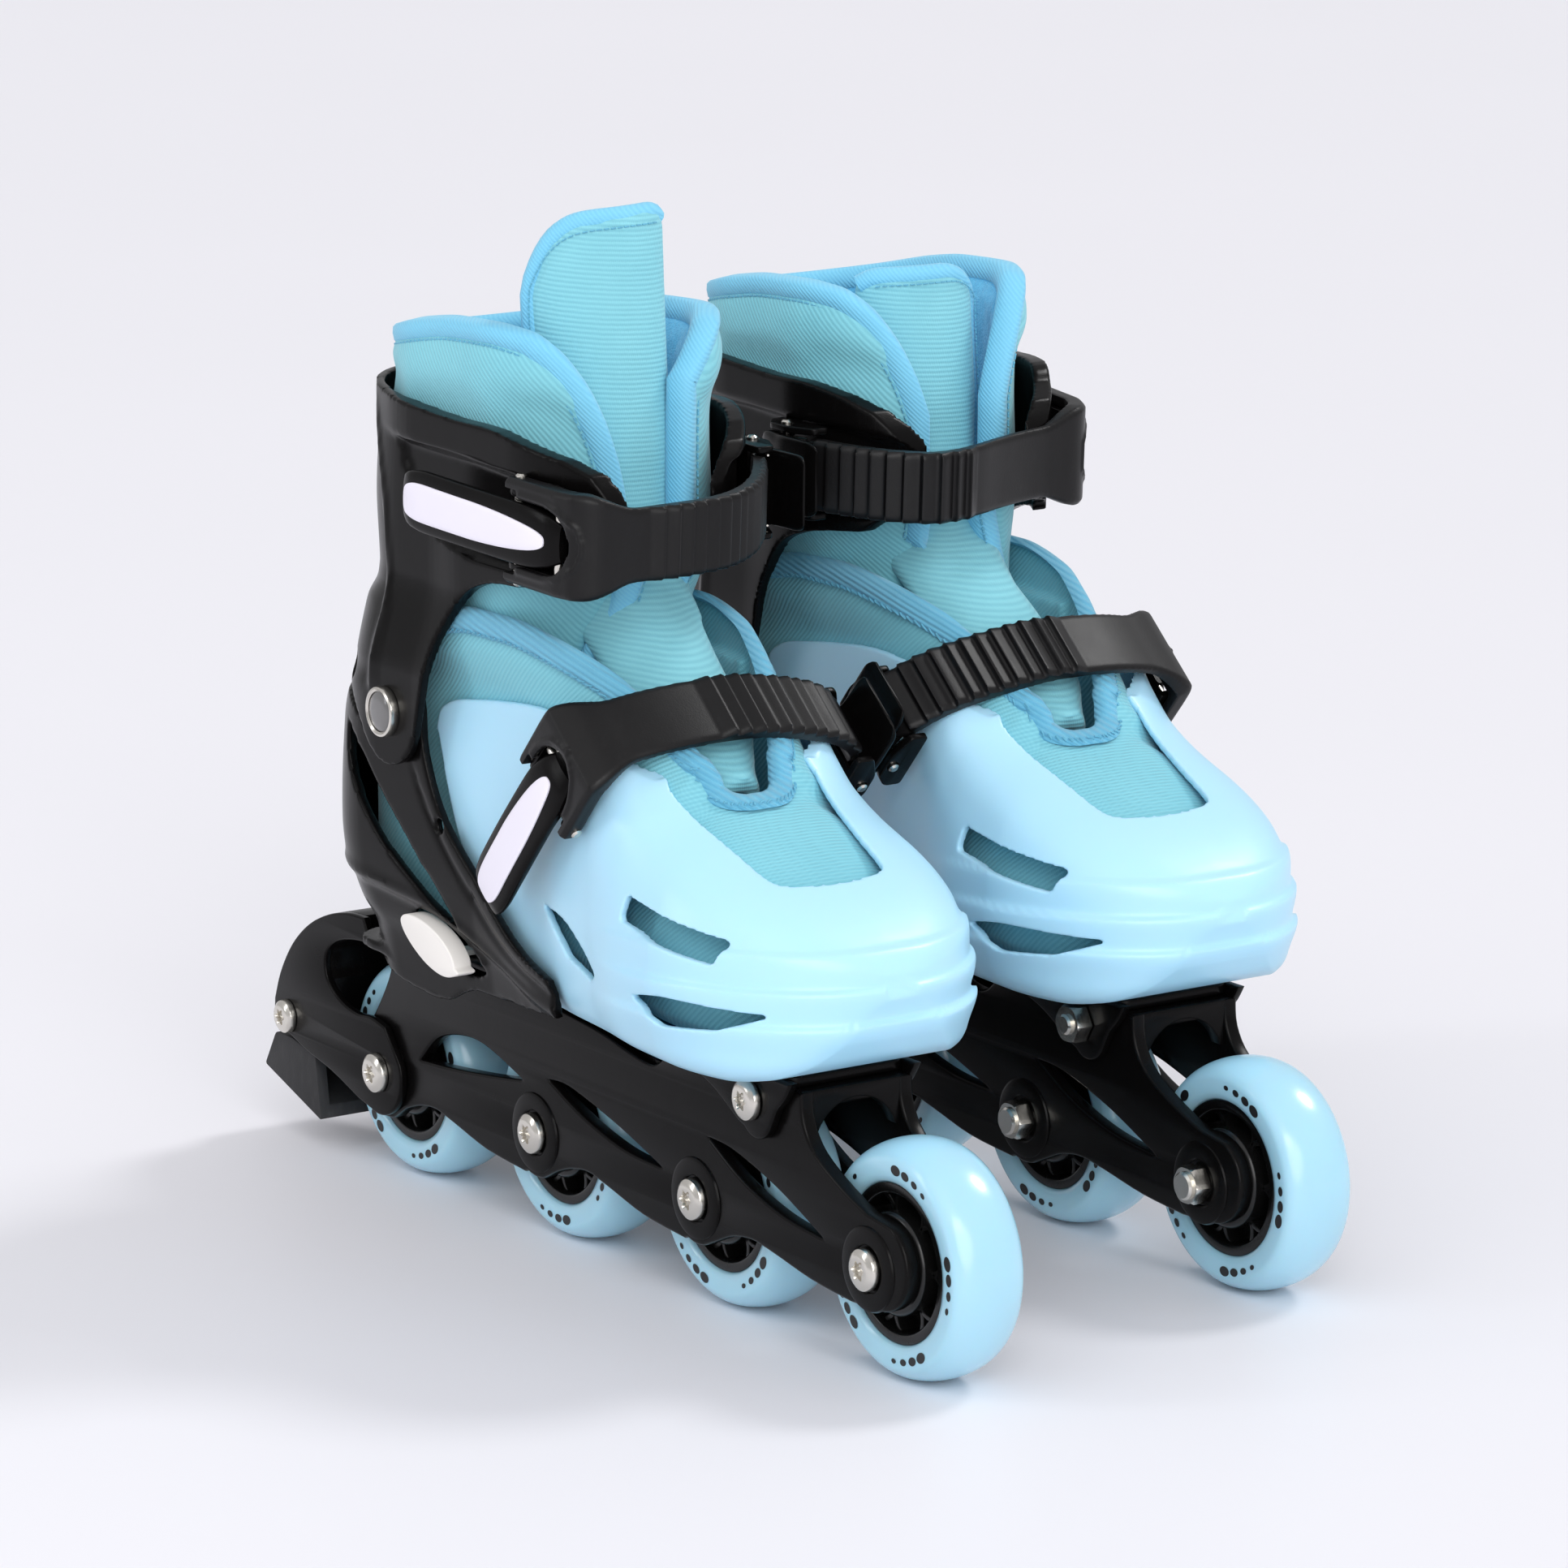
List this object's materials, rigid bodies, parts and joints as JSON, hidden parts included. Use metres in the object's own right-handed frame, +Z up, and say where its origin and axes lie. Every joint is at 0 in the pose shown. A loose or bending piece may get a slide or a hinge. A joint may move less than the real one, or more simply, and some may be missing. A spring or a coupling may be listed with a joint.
{
  "type": "inline skates",
  "caption": "Children's size-adjustable inline skates with hinged cuffs, sliding toe shells, ratchet strap buckles and a heel brake.",
  "frame": {"origin": "centre of the bottom of the bounding box of the pair at rest, on the ground between the two skates", "axes": "+X points forward along both skates, +Y towards the left skate, +Z up; the right skate is the one with the brake"},
  "size_m": [0.339, 0.216, 0.288],
  "materials": {
    "black": "satin moulded",
    "pale_blue": "gloss",
    "urethane": "glossy cast urethane",
    "fabric": "fine ribbed weave",
    "steel": "bright plated",
    "ivory": "satin",
    "pad_rubber": "matt"
  },
  "bodies": {
    "right_chassis": {"right_frame": "black", "right_fasteners": "steel", "right_bearing_races": "steel", "right_sole_plate": "black", "right_heel_shell": "black", "right_liner_foot": "fabric", "right_brake_arm": "black", "right_brake_pad": "pad_rubber"},
    "right_wheel_1": {"right_tyre_1": "urethane", "right_hub_1": "black"},
    "right_wheel_2": {"right_tyre_2": "urethane", "right_hub_2": "black"},
    "right_wheel_3": {"right_tyre_3": "urethane", "right_hub_3": "black"},
    "right_wheel_4": {"right_tyre_4": "urethane", "right_hub_4": "black"},
    "right_upper": {"right_cuff": "black", "right_liner_collar": "fabric", "right_tongue": "fabric", "right_ankle_buckle": "black"},
    "right_toe": {"right_toe_shell": "pale_blue", "right_toe_rack": "black", "right_toe_buckle": "black"},
    "right_size_button": {"right_size_button": "ivory"},
    "right_ankle_strap": {"right_ankle_strap": "black"},
    "right_ankle_lever": {"right_ankle_lever": "black"},
    "right_ankle_release": {"right_ankle_release": "black"},
    "right_toe_strap": {"right_toe_strap": "black"},
    "right_toe_lever": {"right_toe_lever": "black"},
    "right_toe_release": {"right_toe_release": "black"},
    "left_chassis": {"left_frame": "black", "left_fasteners": "steel", "left_bearing_races": "steel", "left_sole_plate": "black", "left_heel_shell": "black", "left_liner_foot": "fabric"},
    "left_wheel_1": {"left_tyre_1": "urethane", "left_hub_1": "black"},
    "left_wheel_2": {"left_tyre_2": "urethane", "left_hub_2": "black"},
    "left_wheel_3": {"left_tyre_3": "urethane", "left_hub_3": "black"},
    "left_wheel_4": {"left_tyre_4": "urethane", "left_hub_4": "black"},
    "left_upper": {"left_cuff": "black", "left_liner_collar": "fabric", "left_tongue": "fabric", "left_ankle_buckle": "black"},
    "left_toe": {"left_toe_shell": "pale_blue", "left_toe_rack": "black", "left_toe_buckle": "black"},
    "left_size_button": {"left_size_button": "ivory"},
    "left_ankle_strap": {"left_ankle_strap": "black"},
    "left_ankle_lever": {"left_ankle_lever": "black"},
    "left_ankle_release": {"left_ankle_release": "black"},
    "left_toe_strap": {"left_toe_strap": "black"},
    "left_toe_lever": {"left_toe_lever": "black"},
    "left_toe_release": {"left_toe_release": "black"}
  },
  "joints": [
    {"name": "right_wheel_1_spin", "type": "hinge", "parent": "right_chassis", "child": "right_wheel_1", "pos_m": [-0.1025, -0.06025, 0.032], "axis": [0, 1, 0], "continuous": true},
    {"name": "right_wheel_2_spin", "type": "hinge", "parent": "right_chassis", "child": "right_wheel_2", "pos_m": [-0.0225, -0.06025, 0.032], "axis": [0, 1, 0], "continuous": true},
    {"name": "right_wheel_3_spin", "type": "hinge", "parent": "right_chassis", "child": "right_wheel_3", "pos_m": [0.0575, -0.06025, 0.032], "axis": [0, 1, 0], "continuous": true},
    {"name": "right_wheel_4_spin", "type": "hinge", "parent": "right_chassis", "child": "right_wheel_4", "pos_m": [0.1375, -0.06025, 0.032], "axis": [0, 1, 0], "continuous": true},
    {"name": "right_cuff_flex", "type": "hinge", "parent": "right_chassis", "child": "right_upper", "pos_m": [-0.0595, -0.06025, 0.1475], "axis": [0, 1, 0], "range_deg": [-4, 8], "stiffness_Nm_per_rad": 6},
    {"name": "right_size_slide", "type": "slide", "parent": "right_chassis", "child": "right_toe", "axis": [1, 0, 0], "range_m": [0, 0.02]},
    {"name": "right_size_button_press", "type": "slide", "parent": "right_chassis", "child": "right_size_button", "axis": [0, 1, 0], "range_m": [0, 0.003], "stiffness_N_per_m": 600},
    {"name": "right_ankle_strap_swing", "type": "hinge", "parent": "right_upper", "child": "right_ankle_strap", "pos_m": [0.0075, -0.10045, 0.208], "axis": [0.0522, 0.0037, 0.9986], "range_deg": [-42, 0]},
    {"name": "right_ankle_lever_swing", "type": "hinge", "parent": "right_upper", "child": "right_ankle_lever", "pos_m": [0.02543, -0.0992, 0.20706], "axis": [0.0522, 0.0037, 0.9986], "range_deg": [0, 75]},
    {"name": "right_ankle_release_swing", "type": "hinge", "parent": "right_upper", "child": "right_ankle_release", "pos_m": [-0.0145, -0.01125, 0.208], "axis": [0.0175, 0, 0.9998], "range_deg": [0, 20], "stiffness_Nm_per_rad": 0.05},
    {"name": "right_toe_strap_swing", "type": "hinge", "parent": "right_toe", "child": "right_toe_strap", "pos_m": [0.0273, -0.10305, 0.141], "axis": [-0.7513, 0, 0.66], "range_deg": [-48, 0]},
    {"name": "right_toe_lever_swing", "type": "hinge", "parent": "right_toe", "child": "right_toe_lever", "pos_m": [0.03258, -0.10305, 0.14701], "axis": [-0.7513, 0, 0.66], "range_deg": [0, 75]},
    {"name": "right_toe_release_swing", "type": "hinge", "parent": "right_toe", "child": "right_toe_release", "pos_m": [0.0281, -0.01095, 0.141], "axis": [-0.7513, 0, 0.66], "range_deg": [0, 20], "stiffness_Nm_per_rad": 0.05},
    {"name": "left_wheel_1_spin", "type": "hinge", "parent": "left_chassis", "child": "left_wheel_1", "pos_m": [-0.1185, 0.06025, 0.032], "axis": [0, 1, 0], "continuous": true},
    {"name": "left_wheel_2_spin", "type": "hinge", "parent": "left_chassis", "child": "left_wheel_2", "pos_m": [-0.0385, 0.06025, 0.032], "axis": [0, 1, 0], "continuous": true},
    {"name": "left_wheel_3_spin", "type": "hinge", "parent": "left_chassis", "child": "left_wheel_3", "pos_m": [0.0415, 0.06025, 0.032], "axis": [0, 1, 0], "continuous": true},
    {"name": "left_wheel_4_spin", "type": "hinge", "parent": "left_chassis", "child": "left_wheel_4", "pos_m": [0.1215, 0.06025, 0.032], "axis": [0, 1, 0], "continuous": true},
    {"name": "left_cuff_flex", "type": "hinge", "parent": "left_chassis", "child": "left_upper", "pos_m": [-0.0755, 0.06025, 0.1475], "axis": [0, 1, 0], "range_deg": [-4, 8], "stiffness_Nm_per_rad": 6},
    {"name": "left_size_slide", "type": "slide", "parent": "left_chassis", "child": "left_toe", "axis": [1, 0, 0], "range_m": [0, 0.02]},
    {"name": "left_size_button_press", "type": "slide", "parent": "left_chassis", "child": "left_size_button", "axis": [0, -1, 0], "range_m": [0, 0.003], "stiffness_N_per_m": 600},
    {"name": "left_ankle_strap_swing", "type": "hinge", "parent": "left_upper", "child": "left_ankle_strap", "pos_m": [-0.0305, 0.09905, 0.209], "axis": [-0.0519, 0.0064, -0.9986], "range_deg": [-42, 0]},
    {"name": "left_ankle_lever_swing", "type": "hinge", "parent": "left_upper", "child": "left_ankle_lever", "pos_m": [-0.01266, 0.09686, 0.20806], "axis": [-0.0519, 0.0064, -0.9986], "range_deg": [0, 75]},
    {"name": "left_ankle_release_swing", "type": "hinge", "parent": "left_upper", "child": "left_ankle_release", "pos_m": [-0.0305, 0.01125, 0.208], "axis": [-0.0175, 0, -0.9998], "range_deg": [0, 20], "stiffness_Nm_per_rad": 0.05},
    {"name": "left_toe_strap_swing", "type": "hinge", "parent": "left_toe", "child": "left_toe_strap", "pos_m": [0.0113, 0.10305, 0.141], "axis": [0.7513, 0, -0.66], "range_deg": [-48, 0]},
    {"name": "left_toe_lever_swing", "type": "hinge", "parent": "left_toe", "child": "left_toe_lever", "pos_m": [0.01658, 0.10305, 0.14701], "axis": [0.7513, 0, -0.66], "range_deg": [0, 75]},
    {"name": "left_toe_release_swing", "type": "hinge", "parent": "left_toe", "child": "left_toe_release", "pos_m": [0.0121, 0.01095, 0.141], "axis": [0.7513, 0, -0.66], "range_deg": [0, 20], "stiffness_Nm_per_rad": 0.05},
    {"name": "pair_lift", "type": "slide", "parent": "right_chassis", "child": "left_chassis", "axis": [0, 0, 1], "range_m": [0, 0.2]}
  ]
}
